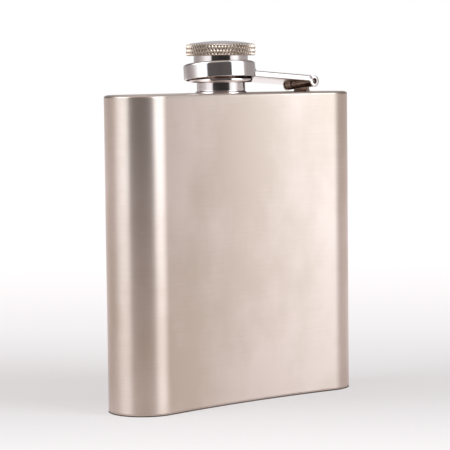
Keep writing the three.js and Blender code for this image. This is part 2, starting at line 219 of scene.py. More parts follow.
def piece(name, skins, body, node, material, crease=38):
    """One object from closed skins in millimetres, at the origin, riding its body for its CAD node."""
    starts = np.cumsum([0] + [len(p) for p, _ in skins[:-1]])
    points = np.concatenate([p for p, _ in skins]) * MM
    faces = np.concatenate([f + s for (_, f), s in zip(skins, starts)])
    mesh = bpy.data.meshes.new(name)
    mesh.vertices.add(len(points))
    mesh.vertices.foreach_set("co", points.astype(np.float32).ravel())
    mesh.loops.add(faces.size)
    mesh.loops.foreach_set("vertex_index", faces.astype(np.int32).ravel())
    mesh.polygons.add(len(faces))
    mesh.polygons.foreach_set("loop_start", np.arange(0, faces.size, 4, dtype=np.int32))
    mesh.update(calc_edges=True)
    shape = bmesh.new()
    shape.from_mesh(mesh)
    bmesh.ops.remove_doubles(shape, verts=shape.verts, dist=1e-7)
    shape.to_mesh(mesh)
    shape.free()
    mesh.polygons.foreach_set("use_smooth", np.ones(len(mesh.polygons), bool))
    mesh.set_sharp_from_angle(angle=math.radians(crease))
    mesh.materials.append(material)
    thing = bpy.data.objects.new(name, mesh)
    bpy.context.scene.collection.objects.link(thing)
    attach(thing, body)
    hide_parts(node)
    return thing


def rounded(corners, closed=True, steps=5, hold=0.12):
    """A line of corners (a, b, radius). Each corner becomes an arc tangent to both sides.

    With u, v the unit directions to its neighbours and h half the angle between them, the arc's
    centre is P + r (u + v) / (|u + v| sin h), and it touches the sides r / tan h from P. A point
    held a little way past each end of the arc keeps the straight run flat under smooth shading.
    """
    spots = [np.array(c[:2], float) for c in corners]
    line = []
    for k, (_, _, radius) in enumerate(corners):
        here = spots[k]
        if radius <= 0 or (not closed and k in (0, len(corners) - 1)):
            line.append(here)
            continue
        back, on = spots[k - 1] - here, spots[(k + 1) % len(spots)] - here
        reach = min(np.linalg.norm(back), np.linalg.norm(on))
        u, v = back / np.linalg.norm(back), on / np.linalg.norm(on)
        h = math.acos(np.clip(u @ v, -1, 1)) / 2
        touch = min(radius / math.tan(h), 0.49 * reach)
        r = touch * math.tan(h)
        centre = here + (u + v) / np.linalg.norm(u + v) * r / math.sin(h)
        first, last = here + u * touch - centre, here + v * touch - centre
        turn = math.atan2(first[0] * last[1] - first[1] * last[0], first @ last)
        t = np.linspace(0, turn, steps + 1)[:, None]
        bend = centre + first * np.cos(t) + np.array([-first[1], first[0]]) * np.sin(t)
        spare = min(hold, 0.4 * (reach / 2 - touch) if reach / 2 > touch else 0)
        if spare > 0.01:
            line.append(here + u * (touch + spare))
        line.extend(bend)
        if spare > 0.01:
            line.append(here + v * (touch + spare))
    return np.array(line)


def split_runs(profile, longest, steps, radius=None):
    """A closed profile (r, z) with rows put into its upright runs longer than longest.

    With a radius, only the runs at that radius are split.
    """
    rows = []
    for spot, after in zip(profile, np.roll(profile, -1, axis=0)):
        rows.append(spot)
        upright = abs(after[1] - spot[1]) > longest
        if upright and (radius is None or np.allclose([spot[0], after[0]], radius)):
            rows.extend(spot + (after - spot) * np.linspace(0, 1, steps + 1)[1:-1, None])
    return np.array(rows)


def all_round(count):
    """That many angles round a full turn."""
    return np.arange(count) * TAU / count


def lathe(radius, z, t, centre=(0, 0)):
    """The grid (cx + r cos t, cy + r sin t, z), with r a column or a whole grid and one z to a row."""
    x = centre[0] + radius * np.cos(t)
    y = centre[1] + radius * np.sin(t)
    return np.stack([x, y, np.broadcast_to(z[:, None], x.shape)], axis=-1)


def turned(profile, wrap=True):
    """A lathe surface on the cap's axis from a profile of (r, z)."""
    r, z = profile.T
    return skin(lathe(r[:, None], z, all_round(144), cap_axis), wrap_rows=wrap)


def at_heights(flat, z):
    """A grid of (x, y) given one height to a row."""
    return np.concatenate([flat, np.broadcast_to(z[:, None, None], flat.shape[:2] + (1,))], axis=-1)


# ---------------------------------------------------------------- body


def arc(centre_x, centre_y, radius, start, end, count, side=1):
    """Points c + R (cos a, sin a), and outward normals side (cos a, sin a), without the last point."""
    a = np.linspace(start, end, count + 1)[:-1]
    way = np.stack([np.cos(a), np.sin(a)], axis=-1)
    return np.array([centre_x, centre_y]) + radius * way, side * way


def section():
    """The flask's outline, anticlockwise, and its outward normals: faces and corners meet in tangency."""
    half = shell_high[0]
    outer_mid = shell_high[1]
    hip_centre = outer_mid - BODY_DEPTH - HIP_FACE_RADIUS
    outer_centre = outer_mid - OUTER_FACE_RADIUS
    hip_x = half - HIP_CORNER_RADIUS
    outer_x = half - OUTER_CORNER_RADIUS
    hip_y = hip_centre + math.sqrt((HIP_FACE_RADIUS + HIP_CORNER_RADIUS) ** 2 - hip_x**2)
    outer_y = outer_centre + math.sqrt((OUTER_FACE_RADIUS - OUTER_CORNER_RADIUS) ** 2 - outer_x**2)
    hip_touch = math.atan2(hip_centre - hip_y, -hip_x)
    outer_touch = math.atan2(outer_y - outer_centre, outer_x)
    spread = math.atan2(hip_x, hip_y - hip_centre)
    hip_from, hip_to = math.pi / 2 + spread, math.pi / 2 - spread
    corner, face = 36, 96
    arcs = [
        arc(hip_x, hip_y, HIP_CORNER_RADIUS, hip_touch + TAU, TAU, corner),
        arc(outer_x, outer_y, OUTER_CORNER_RADIUS, 0, outer_touch, corner),
        arc(0, outer_centre, OUTER_FACE_RADIUS, outer_touch, math.pi - outer_touch, face),
        arc(-outer_x, outer_y, OUTER_CORNER_RADIUS, math.pi - outer_touch, math.pi, corner),
        arc(-hip_x, hip_y, HIP_CORNER_RADIUS, math.pi, math.pi - hip_touch, corner),
        arc(0, hip_centre, HIP_FACE_RADIUS, hip_from, hip_to, face, side=-1),
    ]
    points = np.concatenate([p for p, _ in arcs])
    normals = np.concatenate([n for _, n in arcs])
    return points, normals


outline, outline_normals = section()


def sheet_waves(points, z):
    """Unevenness of thin sheet, in millimetres along its normal: h (sin(x / 6.1 + z / 13 + 0.7)
    sin(z / 9.7 + 1.1) + 0.8 sin(x / 11.3 - z / 17 + 2.1) + 0.5 sin(y / 5.3 + z / 7.9)) sqrt(sin(pi w)),
    where w runs from 0 to 1 up the shell, so there is none at its stiff ends.
    """
    along = points[:, 0][None, :]
    across = points[:, 1][None, :]
    high = (z - z.min()) / np.ptp(z)
    z = z[:, None]
    waves = np.sin(along / 6.1 + z / 13.0 + 0.7) * np.sin(z / 9.7 + 1.1)
    waves = waves + 0.8 * np.sin(along / 11.3 - z / 17.0 + 2.1) + 0.5 * np.sin(across / 5.3 + z / 7.9)
    return WAVE_HEIGHT * waves * np.sin(math.pi * high)[:, None] ** 0.5


def body_shell():
    """Each profile point (inset, z) is carried round the section: P = outline - (inset + waves) n."""
    low, high = shell_low[2], shell_high[2]
    ring = rounded([
        (0, low, SHELL_EDGE),
        (0, high, SHELL_EDGE),
        (SHELL_WALL, high, SHELL_EDGE),
        (SHELL_WALL, low, SHELL_EDGE),
    ], steps=4)
    inset, z = split_runs(ring, 50, 48).T
    shift = inset[:, None] - sheet_waves(outline, z)
    flat = outline[None] - shift[..., None] * outline_normals[None]
    return [skin(at_heights(flat, z), wrap_rows=True)]


def pan(edge, thickness, face_z, inwards, hole, centre):
    """A pressed pan. Its rim is a section (inset, depth) carried round the flask's outline.

    Both flat faces run from the rim to the hole: P = (1 - w) rim + w hole, where the hole's points
    lie at the same bearing from its centre. With no hole the faces meet in a pole.
    """
    inset, drop = edge
    lip_out = SHELL_WALL + FIT_GAP
    lip_in = lip_out + thickness
    lip_end = drop + PLATE_LIP_DEPTH
    drop = drop + FIT_GAP - SEAM
    t = np.linspace(0, math.pi / 2, 9)
    brow = np.stack([inset * (1 - np.sin(t)), drop * (1 - np.cos(t))], axis=-1)
    under = rounded([
        (0, drop, 0),
        (lip_out, drop, 0.15),
        (lip_out, lip_end, 0.15),
        (lip_in, lip_end, 0.15),
        (lip_in, thickness, 0.4),
        (lip_in + 3, thickness, 0),
    ], closed=False, steps=3)
    before = np.array([[inset + 0.5, 0], [inset + 0.12, 0]])
    rim = np.concatenate([before, brow, under[1:]])
    around = np.arctan2(outline[:, 1] - centre[1], outline[:, 0] - centre[0])
    ring = np.array(centre) + hole * np.stack([np.cos(around), np.sin(around)], axis=-1)
    rim_points = outline[None] - rim[:, 0][:, None, None] * outline_normals[None]
    steps = np.linspace(0, 1, 13)[1:]
    w = steps[:, None, None]
    top = (rim_points[0][None] * (1 - w) + ring[None] * w)[::-1]
    bottom = rim_points[-1][None] * (1 - w) + ring[None] * w
    flat = np.concatenate([top, rim_points, bottom])
    depth = np.concatenate([0 * steps, rim[:, 1], 0 * steps + thickness])
    if hole > 0:
        depth[0] += PLATE_HOLE_EDGE
        depth[-1] -= PLATE_HOLE_EDGE
        lip = ring + (rim_points[0] - ring) * PLATE_HOLE_EDGE / 10
        flat = np.concatenate([flat[:1], lip[None], flat[1:]])
        depth = np.concatenate([depth[:1], [0], depth[1:]])
    return [skin(at_heights(flat, face_z + inwards * depth), wrap_rows=hole > 0)]


# ---------------------------------------------------------------- neck and cap


def triangle(x):
    """0 at whole numbers, 1 half way between them."""
    return 1 - np.abs(2 * (x - np.floor(x)) - 1)


def ridge(x):
    """One thread crest in each whole step of x: 2.2 triangle(x) - 0.75, kept within 0 and 1."""
    return np.clip(triangle(x) * 2.2 - 0.75, 0, 1)


def fade(z, low, high, length):
    """0 outside low..high, 1 inside it, rising over that length as 3 s^2 - 2 s^3."""
    inside = np.clip(np.minimum(z - low, high - z) / length, 0, 1)
    return inside * inside * (3 - 2 * inside)


def threaded(profile, thread_radius, low, high, height, phase, steps):
    """A lathe surface with a thread on its straight run at that radius, from low to high: the radius
    there grows by height x ridge(z / pitch - t / 2 pi + phase), fading in and out over half a pitch.
    """
    r, z = split_runs(profile, 1, steps, thread_radius).T
    t = all_round(144)
    winding = ridge(z[:, None] / THREAD_PITCH - t[None] / TAU + phase)
    on = np.isclose(r, thread_radius) * fade(z, low, high, THREAD_PITCH / 2)
    radius = r[:, None] + height * on[:, None] * winding
    return [skin(lathe(radius, z, t, cap_axis), wrap_rows=True)]


def neck():
    """Turned: a bead of weld on the plate, the plain neck, its shoulder, then the threaded spout."""
    low, top = neck_low[2], neck_high[2]
    plate = plate_high[2]
    bead = 0.55
    profile = rounded([
        (MOUTH_RADIUS, low, 0.15),
        (NECK_RADIUS, low, 0.2),
        (NECK_RADIUS, plate + 0.02, 0),
        (NECK_RADIUS + bead, plate + 0.02, 0.05),
        (NECK_RADIUS + bead * 0.85, plate + 0.32, 0.2),
        (NECK_RADIUS, plate + 0.62, 0.3),
        (NECK_RADIUS, SHOULDER, 0.25),
        (SPOUT_RADIUS, SHOULDER, 0.2),
        (SPOUT_RADIUS, top, 0.4),
        (MOUTH_RADIUS, top, 0.4),
    ], steps=4)
    return threaded(profile, SPOUT_RADIUS, SHOULDER + 0.3, top - 0.5, SPOUT_THREAD, phase=0, steps=59)


def thread_liner():
    """A sleeve whose inner thread stands half a pitch from the spout's, so that they mesh."""
    low, top = liner_low[2], liner_high[2]
    profile = rounded([
        (LINER_BORE, low, 0.2),
        (LINER_RADIUS, low, 0.15),
        (LINER_RADIUS, top, 0.15),
        (LINER_BORE, top, 0.15),
    ], steps=3)
    return threaded(profile, LINER_BORE, low + 0.1, top - 0.9, -LINER_THREAD, phase=0.5, steps=51)


def cap_head():
    """Turned, with a diamond knurl on its side: r = R - depth (1 - k), where k is the smaller of
    triangle(n t / 2 pi + z / h) and triangle(n t / 2 pi - z / h), times its steepness and cut off
    at 1, so each diamond has a flat top. The dome is (R s, z0 + rise (1 - s^2)).
    """
    bottom, top = head_low[2], head_high[2]
    side_top = bottom + HEAD_SIDE
    groove_top = bottom + 1.3
    per_knurl = 8
    under = rounded([
        (0, bottom, 0),
        (SKIRT_BORE - FIT_GAP, bottom, 0.1),
        (SKIRT_BORE - FIT_GAP, groove_top, 0),
        (STEM_RADIUS + FIT_GAP, groove_top, 0),
        (STEM_RADIUS + FIT_GAP, bottom, 0.1),
        (HEAD_RADIUS - 0.55, bottom, 0),
    ], closed=False, steps=3)
    break_low = np.array([[HEAD_RADIUS - 0.45, bottom + 0.01], [HEAD_RADIUS - 0.2, bottom + 0.12]])
    z_side = np.arange(bottom + 0.3, side_top - 0.3, DIAMOND_HEIGHT / (2 * per_knurl))
    side = np.stack([0 * z_side + HEAD_RADIUS, z_side], axis=-1)
    brow = np.array([
        [HEAD_RADIUS - 0.05, side_top - 0.22],
        [HEAD_RADIUS - 0.22, side_top - 0.05],
        [HEAD_RADIUS - 0.5, side_top + 0.05],
        [HEAD_RADIUS - 0.8, side_top + 0.13],
    ])
    share = np.linspace(1, 0, 16)
    dome_edge = HEAD_RADIUS - 1.0
    dome_low = side_top + 0.185
    dome = np.stack([dome_edge * share, dome_low + (top - dome_low) * (1 - share**2)], axis=-1)
    profile = np.concatenate([under, break_low, side, brow, dome])
    r, z = profile.T
    t = all_round(KNURLS_ROUND * per_knurl)
    a = KNURLS_ROUND * t[None] / TAU + z[:, None] / DIAMOND_HEIGHT
    b = KNURLS_ROUND * t[None] / TAU - z[:, None] / DIAMOND_HEIGHT
    diamond = np.clip(np.minimum(triangle(a), triangle(b)) * KNURL_STEEPNESS, 0, 1)
    on = fade(z, bottom - 0.1, side_top + 0.12, 0.3) * (r > HEAD_RADIUS - 0.75)
    radius = r[:, None] - on[:, None] * KNURL_DEPTH * (1 - diamond)
    return [skin(lathe(radius, z, t, cap_axis))]


def cap_skirt():
    """Turned: a sleeve with a fillet into a rim whose edge is rounded over its whole height."""
    low, top = skirt_low[2], skirt_high[2]
    return [turned(rounded([
        (SKIRT_BORE, low, 0.15),
        (RIM_RADIUS, low, 0.75),
        (RIM_RADIUS, low + RIM_HEIGHT, 0.8),
        (STEM_RADIUS, low + RIM_HEIGHT, 0.35),
        (STEM_RADIUS, top, 0.1),
        (SKIRT_BORE, top, 0.1),
    ], steps=8))]


def seal_disc():
    """Turned: a disc with rounded edges, and a shallow ring pressed into it where the spout bears."""
    low, top = seal_low[2], seal_high[2]
    radius = (seal_high[0] - seal_low[0]) / 2
    profile = rounded([
        (0, low, 0),
        (MOUTH_RADIUS - 0.2, low, 0.1),
        (MOUTH_RADIUS, low + 0.08, 0.1),
        (SPOUT_RADIUS, low + 0.08, 0.1),
        (SPOUT_RADIUS + 0.15, low, 0.1),
        (radius, low, 0.2),
        (radius, top, 0.2),
        (0, top, 0),
    ], closed=False, steps=4)
    return [turned(profile, wrap=False)]


# ---------------------------------------------------------------- arm and hinge


def about_y(points, angle):
    """(x cos a + z sin a, y, z cos a - x sin a)."""
    x, y, z = np.moveaxis(points, -1, 0)
    c, s = math.cos(angle), math.sin(angle)
    return np.stack([x * c + z * s, y, z * c - x * s], axis=-1)


def about_x(points, angle):
    """(x, y cos a - z sin a, y sin a + z cos a)."""
    x, y, z = np.moveaxis(points, -1, 0)
    c, s = math.cos(angle), math.sin(angle)
    return np.stack([x, y * c - z * s, y * s + z * c], axis=-1)


def in_hinge(points):
    """From the hinge's own frame to the flask's."""
    return about_x(points, hinge_lean) + hinge_place


def collar():
    """Turned in the collar's frame, with a fillet to the arm: over the arm's width the wall's radius
    grows by f s^2, where s falls from 1 at the arm to 0 a fillet's rise above it.
    """
    half = COLLAR_HEIGHT / 2
    profile = rounded([
        (COLLAR_RADIUS, -half, 0.2),
        (COLLAR_RADIUS, half, 0.75),
        (COLLAR_HOLE, half, 0.25),
        (COLLAR_HOLE, half - ARM_SHEET, 0.15),
        (COLLAR_BORE, half - ARM_SHEET, 0.5),
        (COLLAR_BORE, -half, 0.2),
    ], steps=7)
    r, z = split_runs(profile, 3, 16, COLLAR_RADIUS).T
    t = all_round(192)
    web_top = ARM_DEPTH - half
    s = np.clip((web_top + FILLET_RISE - z) / FILLET_RISE, 0, 1)
    s = s * fade(z, web_top - ARM_SHEET, half, 0.5)
    across = np.abs(COLLAR_RADIUS * np.sin(t))
    beside = np.clip((ARM_WIDTH / 2 - across) / FILLET_SIDE, 0, 1)
    beside = beside * beside * (3 - 2 * beside) * (np.cos(t) > 0)
    grown = s**2 * (r > COLLAR_RADIUS - 0.01)
    radius = r[:, None] + COLLAR_FILLET * grown[:, None] * beside[None]
    points = about_y(lathe(radius, z, t), COLLAR_PITCH) + collar_place
    return skin(in_hinge(points), wrap_rows=True)


def on_collar(y, z):
    """Where a bar point (x, y, z) meets the middle of the collar's wall: x is moved until the point's
    distance from the collar's axis is right.
    """
    reach = COLLAR_RADIUS - ARM_SHEET / 2
    x = np.full(len(y), reach - COLLAR_REACH)
    for _ in range(6):
        spot = about_y(np.stack([x, y, z], axis=-1), ARM_PITCH)
        spot = about_y(spot - collar_place, -COLLAR_PITCH)
        distance = np.hypot(spot[:, 0], spot[:, 1])
        x = x + (reach - distance) * distance / spot[:, 0]
    return x


def bar():
    """A rounded rectangle (y, z) carried straight along x, from the collar's wall to the fork.

    Only the rounded corners end on the wall. Between them the end is a flat chord, which cuts
    across the inside of the collar.
    """
    half = ARM_WIDTH / 2
    loop = rounded([
        (-half, bar_bottom, 0.2),
        (-half, EYE_RADIUS, 0.5),
        (half, EYE_RADIUS, 0.5),
        (half, bar_bottom, 0.2),
    ], steps=5)
    y, z = loop.T
    start = on_collar(y, z)[None]
    share = np.linspace(0, 1, 13)[:, None]
    x = start + (FORK_START - start) * share
    x = np.concatenate([x[:1], x, x[-1:]])
    end_line = 0 * z + bar_bottom + 0.5
    z = np.stack([end_line, *[z] * len(share), end_line])
    return skin(np.stack([x, np.broadcast_to(y, x.shape), z], axis=-1))


def eye(side):
    """One side of the fork: a plate with a round eye. Rim points p move inwards by e (1 - cos a)
    along their normals while they move out by e sin a, so the edge is a quarter round of radius e.
    It is square where the plate meets the bar.
    """
    low_turn = -math.pi + math.asin(-bar_bottom / EYE_RADIUS)
    a = np.linspace(low_turn, math.pi / 2, 49)
    arc_points = EYE_RADIUS * np.stack([np.cos(a), np.sin(a)], axis=-1)
    t = np.linspace(0, 1, 9)[1:, None]
    top_end = np.array([FORK_START, EYE_RADIUS])
    top_run = arc_points[-1] + (top_end - arc_points[-1]) * t
    butt = top_end + (np.array([FORK_START, bar_bottom]) - top_end) * t
    low_run = butt[-1] + (arc_points[0] - butt[-1]) * np.linspace(0, 1, 4)[1:-1, None]
    rim = np.concatenate([arc_points, top_run, butt, low_run])
    square_from = len(arc_points) + len(top_run) - 1
    square_to = square_from + 1 + len(butt)
    edge = np.full(len(rim), EYE_EDGE)
    edge[square_from:square_to] = 0
    edge[square_to:] = 0.1
    along = np.roll(rim, -1, axis=0) - np.roll(rim, 1, axis=0)
    normal = np.stack([along[:, 1], -along[:, 0]], axis=-1)
    normal /= np.linalg.norm(normal, axis=1)[:, None]
    around = np.arctan2(rim[:, 1], rim[:, 0])
    hole = PIN_HOLE * np.stack([np.cos(around), np.sin(around)], axis=-1)
    half = ARM_SHEET / 2
    rows = []
    heights = []
    for sign in (1, -1):
        turn = np.linspace(0, math.pi / 2, 5)
        if sign > 0:
            turn = turn[::-1]
        for angle in turn:
            rows.append(rim - normal * (edge * (1 - math.cos(angle)))[:, None])
            heights.append(sign * (half - edge * (1 - math.sin(angle))))
        inner = hole + (rim - hole) * 0.08
        if sign > 0:
            rows = [hole, inner] + rows
            heights = [np.full(len(rim), half - 0.1), np.full(len(rim), half)] + heights
        else:
            rows += [inner, hole]
            heights += [np.full(len(rim), -half), np.full(len(rim), 0.1 - half)]
    flat = np.array(rows)
    y = side * (ARM_WIDTH - ARM_SHEET) / 2 + np.array(heights)
    return np.stack([flat[..., 0], y, flat[..., 1]], axis=-1)


def collar_arm():
    """The collar, the bar and two eyes, pitched down to the pin."""
    flat, faces = bar()
    skins = [collar(), (in_hinge(about_y(flat, ARM_PITCH)), faces)]
    for side in (-1, 1):
        skins.append(skin(in_hinge(about_y(eye(side), ARM_PITCH)), wrap_rows=True))
    return skins


def on_pin(profile, t):
    """A lathe grid on the pin's axis from a profile (r, y): (r sin t, y, r cos t)."""
    r, y = profile.T
    points = np.stack([r[:, None] * np.sin(t), y[:, None] + 0 * t, r[:, None] * np.cos(t)], axis=-1)
    return in_hinge(points)


def tube_on_pin(middle, length):
    """A piece of the knuckle: a tube on the pin with rounded ends."""
    low, high = middle - length / 2, middle + length / 2
    profile = rounded([
        (PIN_HOLE, low, 0.08),
        (KNUCKLE_RADIUS, low, 0.22),
        (KNUCKLE_RADIUS, high, 0.22),
        (PIN_HOLE, high, 0.08),
    ], steps=5)
    return skin(on_pin(profile, all_round(64)), wrap_rows=True)


def hinge_bracket():
    """The knuckle, and a foot with a flared leg: its half width is w + f (1 - h)^3 at height h, where
    h runs from 0 at the plate to 1 at the leg's top.
    """
    foot_bottom = plate_high[2] + 0.02 - hinge_place[2]
    foot_length = knuckle_length - FOOT_SHORTER
    foot_middle = knuckle_middle + FOOT_SHIFT
    h = np.linspace(0, 1, 15)
    half_width = LEG_HALF_WIDTH + FOOT_FLARE * (1 - h) ** 3
    z = foot_bottom + (LEG_TOP - foot_bottom) * h
    side = np.stack([half_width, z], axis=-1)
    loop = np.concatenate([side, side[::-1] * np.array([-1, 1])])
    y = foot_middle + np.array([-0.5, -0.46, -0.4, 0.4, 0.46, 0.5]) * foot_length
    shrink = np.array([0.85, 0.97, 1, 1, 0.97, 0.85])
    rings = [
        np.column_stack([loop[:, 0] * s, np.full(len(loop), v), loop[:, 1]])
        for v, s in zip(y, shrink)
    ]
    ends = [r * np.array([0, 1, 1]) for r in (rings[0], rings[-1])]
    points = np.array([ends[0], *rings, ends[1]]) + hinge_place
    return [tube_on_pin(knuckle_middle, knuckle_length), skin(points)]


def hinge_spacer():
    return [tube_on_pin(spacer_middle, SPACER_LENGTH)]


def hinge_pin():
    """A pin with domed ends: a profile from pole to pole turned on its axis."""
    half = PIN_LENGTH / 2
    profile = rounded([
        (0, -half, 0),
        (PIN_RADIUS, -half, 0.25),
        (PIN_RADIUS, half, 0.25),
        (0, half, 0),
    ], closed=False, steps=6)
    return [skin(on_pin(profile, all_round(48)))]


# ---------------------------------------------------------------- finishes


class Finish:
    """A material on the Principled shader, with short calls for the nodes it needs."""

    def __init__(self, name, color, roughness, metallic=1.0):
        self.material = bpy.data.materials.new(name)
        self.material.use_nodes = True
        self.tree = self.material.node_tree
        self.shader = self.tree.nodes["Principled BSDF"]
        self.shader.inputs["Base Color"].default_value = (*color, 1)
        self.shader.inputs["Roughness"].default_value = roughness
        self.shader.inputs["Metallic"].default_value = metallic
        self.place = self.node("ShaderNodeTexCoord").outputs["Object"]

    def node(self, kind, **settings):
        made = self.tree.nodes.new(kind)
        for key, value in settings.items():
            setattr(made, key, value)
        return made

    def join(self, source, target):
        self.tree.links.new(source, target)

    def noise(self, scale, detail=3, roughness=0.55):
        """Noise on object coordinates, with its own scale along each axis, in cycles per metre."""
        mapping = self.node("ShaderNodeMapping")
        mapping.inputs["Scale"].default_value = scale
        self.join(self.place, mapping.inputs["Vector"])
        noise = self.node("ShaderNodeTexNoise")
        noise.inputs["Scale"].default_value = 1
        noise.inputs["Detail"].default_value = detail
        noise.inputs["Roughness"].default_value = roughness
        self.join(mapping.outputs["Vector"], noise.inputs["Vector"])
        return noise.outputs["Fac"]

    def spread(self, value, low, high, start=0.3, end=0.7):
        """Maps start..end onto low..high."""
        ranged = self.node("ShaderNodeMapRange")
        ranged.inputs["From Min"].default_value = start
        ranged.inputs["From Max"].default_value = end
        ranged.inputs["To Min"].default_value = low
        ranged.inputs["To Max"].default_value = high
        self.join(value, ranged.inputs["Value"])
        return ranged.outputs["Result"]

    def sum(self, a, b):
        total = self.node("ShaderNodeMath", operation="ADD")
        self.join(a, total.inputs[0])
        self.join(b, total.inputs[1])
        return total.outputs[0]

    def tone(self, value, dark, light):
        """The base colour runs from dark to light as value runs from 0 to 1."""
        mix = self.node("ShaderNodeMix", data_type="RGBA")
        mix.inputs["A"].default_value = (*dark, 1)
        mix.inputs["B"].default_value = (*light, 1)
        self.join(value, mix.inputs["Factor"])
        self.join(mix.outputs["Result"], self.shader.inputs["Base Color"])

    def rough(self, value):
        self.join(value, self.shader.inputs["Roughness"])

    def bump(self, value, height, strength=1.0):
        bump = self.node("ShaderNodeBump")
        bump.inputs["Distance"].default_value = height
        bump.inputs["Strength"].default_value = strength
        self.join(value, bump.inputs["Height"])
        self.join(bump.outputs["Normal"], self.shader.inputs["Normal"])


def scaled(color, factor):
    return tuple(c * factor for c in color)


STEEL = (0.63, 0.508, 0.447)
STEEL_SMUDGED = (0.55, 0.43, 0.357)


def brushed_steel():
    """Fine horizontal brushing over slow, smudgy changes of tone and gloss."""
    finish = Finish("brushed_steel", STEEL, 0.34)
    finish.shader.inputs["Anisotropic"].default_value = 0.6
    finish.shader.inputs["Anisotropic Rotation"].default_value = 0.25
    tangent = finish.node("ShaderNodeTangent", direction_type="RADIAL", axis="Z")
    finish.join(tangent.outputs["Tangent"], finish.shader.inputs["Tangent"])
    fine = finish.noise((90, 90, 6800), detail=2)
    broad = finish.noise((45, 45, 2600), detail=2)
    smudge = finish.noise((26, 26, 17), detail=4, roughness=0.6)
    grain = finish.sum(finish.spread(fine, -0.15, 0.15), finish.spread(broad, -0.07, 0.07))
    tone = finish.sum(grain, finish.spread(smudge, -0.1, 1.1, 0.38, 0.62))
    finish.tone(tone, STEEL_SMUDGED, scaled(STEEL, 1.03))
    finish.rough(finish.sum(finish.spread(fine, 0.32, 0.36), finish.spread(smudge, 0.02, -0.02)))
    finish.bump(fine, 0.00001, 0.5)
    return finish.material


def polished_steel():
    """Mirror polish with a faint haze and the odd fine scratch."""
    color = (0.74, 0.65, 0.62)
    finish = Finish("polished_steel", color, 0.08)
    haze = finish.noise((160, 160, 160), detail=4)
    scratch = finish.noise((900, 120, 2400), detail=2)
    finish.tone(finish.spread(haze, 0, 1), scaled(color, 0.95), scaled(color, 1.02))
    finish.rough(finish.sum(finish.spread(haze, 0.06, 0.11), finish.spread(scratch, 0, 0.03)))
    finish.bump(scratch, 0.000004, 0.5)
    return finish.material


def knurled_steel():
    """A warmer, darker knurl, and above it a greyer, lighter, lightly grained dome."""
    warm = (0.45, 0.34, 0.27)
    grey = (0.66, 0.60, 0.61)
    finish = Finish("knurled_steel", warm, 0.26)
    grain = finish.noise((2600, 2600, 2600), detail=3)
    apart = finish.node("ShaderNodeSeparateXYZ")
    finish.join(finish.place, apart.inputs["Vector"])
    knurl_top = (head_low[2] + HEAD_SIDE) * MM
    dome = finish.spread(apart.outputs["Z"], 0, 1, knurl_top - 0.0001, knurl_top + 0.0003)
    finish.tone(finish.sum(dome, finish.spread(grain, -0.1, 0.1)), warm, grey)
    finish.rough(finish.spread(grain, 0.28, 0.40))
    finish.bump(grain, 0.00004, 0.5)
    return finish.material


def hinge_steel():
    """Dark polished hinge with brown tarnish in patches."""
    color = (0.17, 0.12, 0.095)
    finish = Finish("hinge_steel", color, 0.16)
    patch = finish.noise((420, 260, 420), detail=4)
    grain = finish.noise((3200, 900, 3200), detail=2)
    finish.tone(finish.spread(patch, 0, 1), scaled(color, 0.55), scaled(color, 1.35))
    finish.rough(finish.sum(finish.spread(patch, 0.24, 0.1), finish.spread(grain, 0, 0.06)))
    finish.bump(grain, 0.00001, 0.5)
    return finish.material


def liner_plastic():
    """Moulded off-white plastic, faintly mottled."""
    color = (0.80, 0.78, 0.72)
    finish = Finish("liner_plastic", color, 0.45, metallic=0.0)
    cloud = finish.noise((220, 220, 220), detail=3)
    grain = finish.noise((4200, 4200, 4200), detail=2)
    finish.tone(finish.spread(cloud, 0, 1), scaled(color, 0.94), scaled(color, 1.03))
    finish.rough(finish.spread(grain, 0.4, 0.52))
    finish.bump(grain, 0.00001, 0.5)
    return finish.material


def seal_rubber():
    """Milky silicone with a soft bloom."""
    color = (0.70, 0.69, 0.65)
    finish = Finish("seal_rubber", color, 0.6, metallic=0.0)
    finish.shader.inputs["Subsurface Weight"].default_value = 0.2
    finish.shader.inputs["Subsurface Radius"].default_value = (0.001, 0.001, 0.001)
    bloom = finish.noise((340, 340, 340), detail=4)
    grain = finish.noise((5200, 5200, 5200), detail=2)
    finish.tone(finish.spread(bloom, 0, 1), scaled(color, 0.93), scaled(color, 1.04))
    finish.rough(finish.spread(bloom, 0.5, 0.68))
    finish.bump(grain, 0.00001, 0.4)
    return finish.material


# ---------------------------------------------------------------- studio


def bearing(azimuth):
    """Level direction from the flask at that azimuth: (sin a, -cos a, 0)."""
    a = math.radians(azimuth)
    return Vector((math.sin(a), -math.cos(a), 0))


# How bright the surround is, level and at the height of the lamps, at each bearing in degrees to the
# right of the camera as seen from it. Behind the camera is a dim gap between two wide soft lamps.
SURROUND = (
    (-180, 0.50, 0.60),
    (-145, 0.50, 0.20),
    (-126, 0.40, 0.10),
    (-108, 0.45, 0.40),
    (-92, 0.60, 2.10),
    (-78, 0.90, 3.80),
    (-66, 1.20, 4.00),
    (-44, 1.20, 3.20),
    (-38, 0.05, 0.25),
    (0, 0.03, 0.18),
    (39, 0.04, 0.22),
    (44, 1.10, 3.80),
    (60, 1.40, 6.00),
    (70, 1.40, 5.90),
    (80, 1.10, 3.70),
    (88, 0.60, 0.60),
    (100, 0.50, 0.35),
    (120, 0.45, 0.35),
    (150, 0.45, 0.15),
    (180, 0.50, 0.60),
)
OVERHEAD = 0.8
# The upward parts of a direction between which the lamps, then the overhead tone, take over.
LAMP_START = (0.03, 0.3)
OVERHEAD_START = (0.5, 0.9)


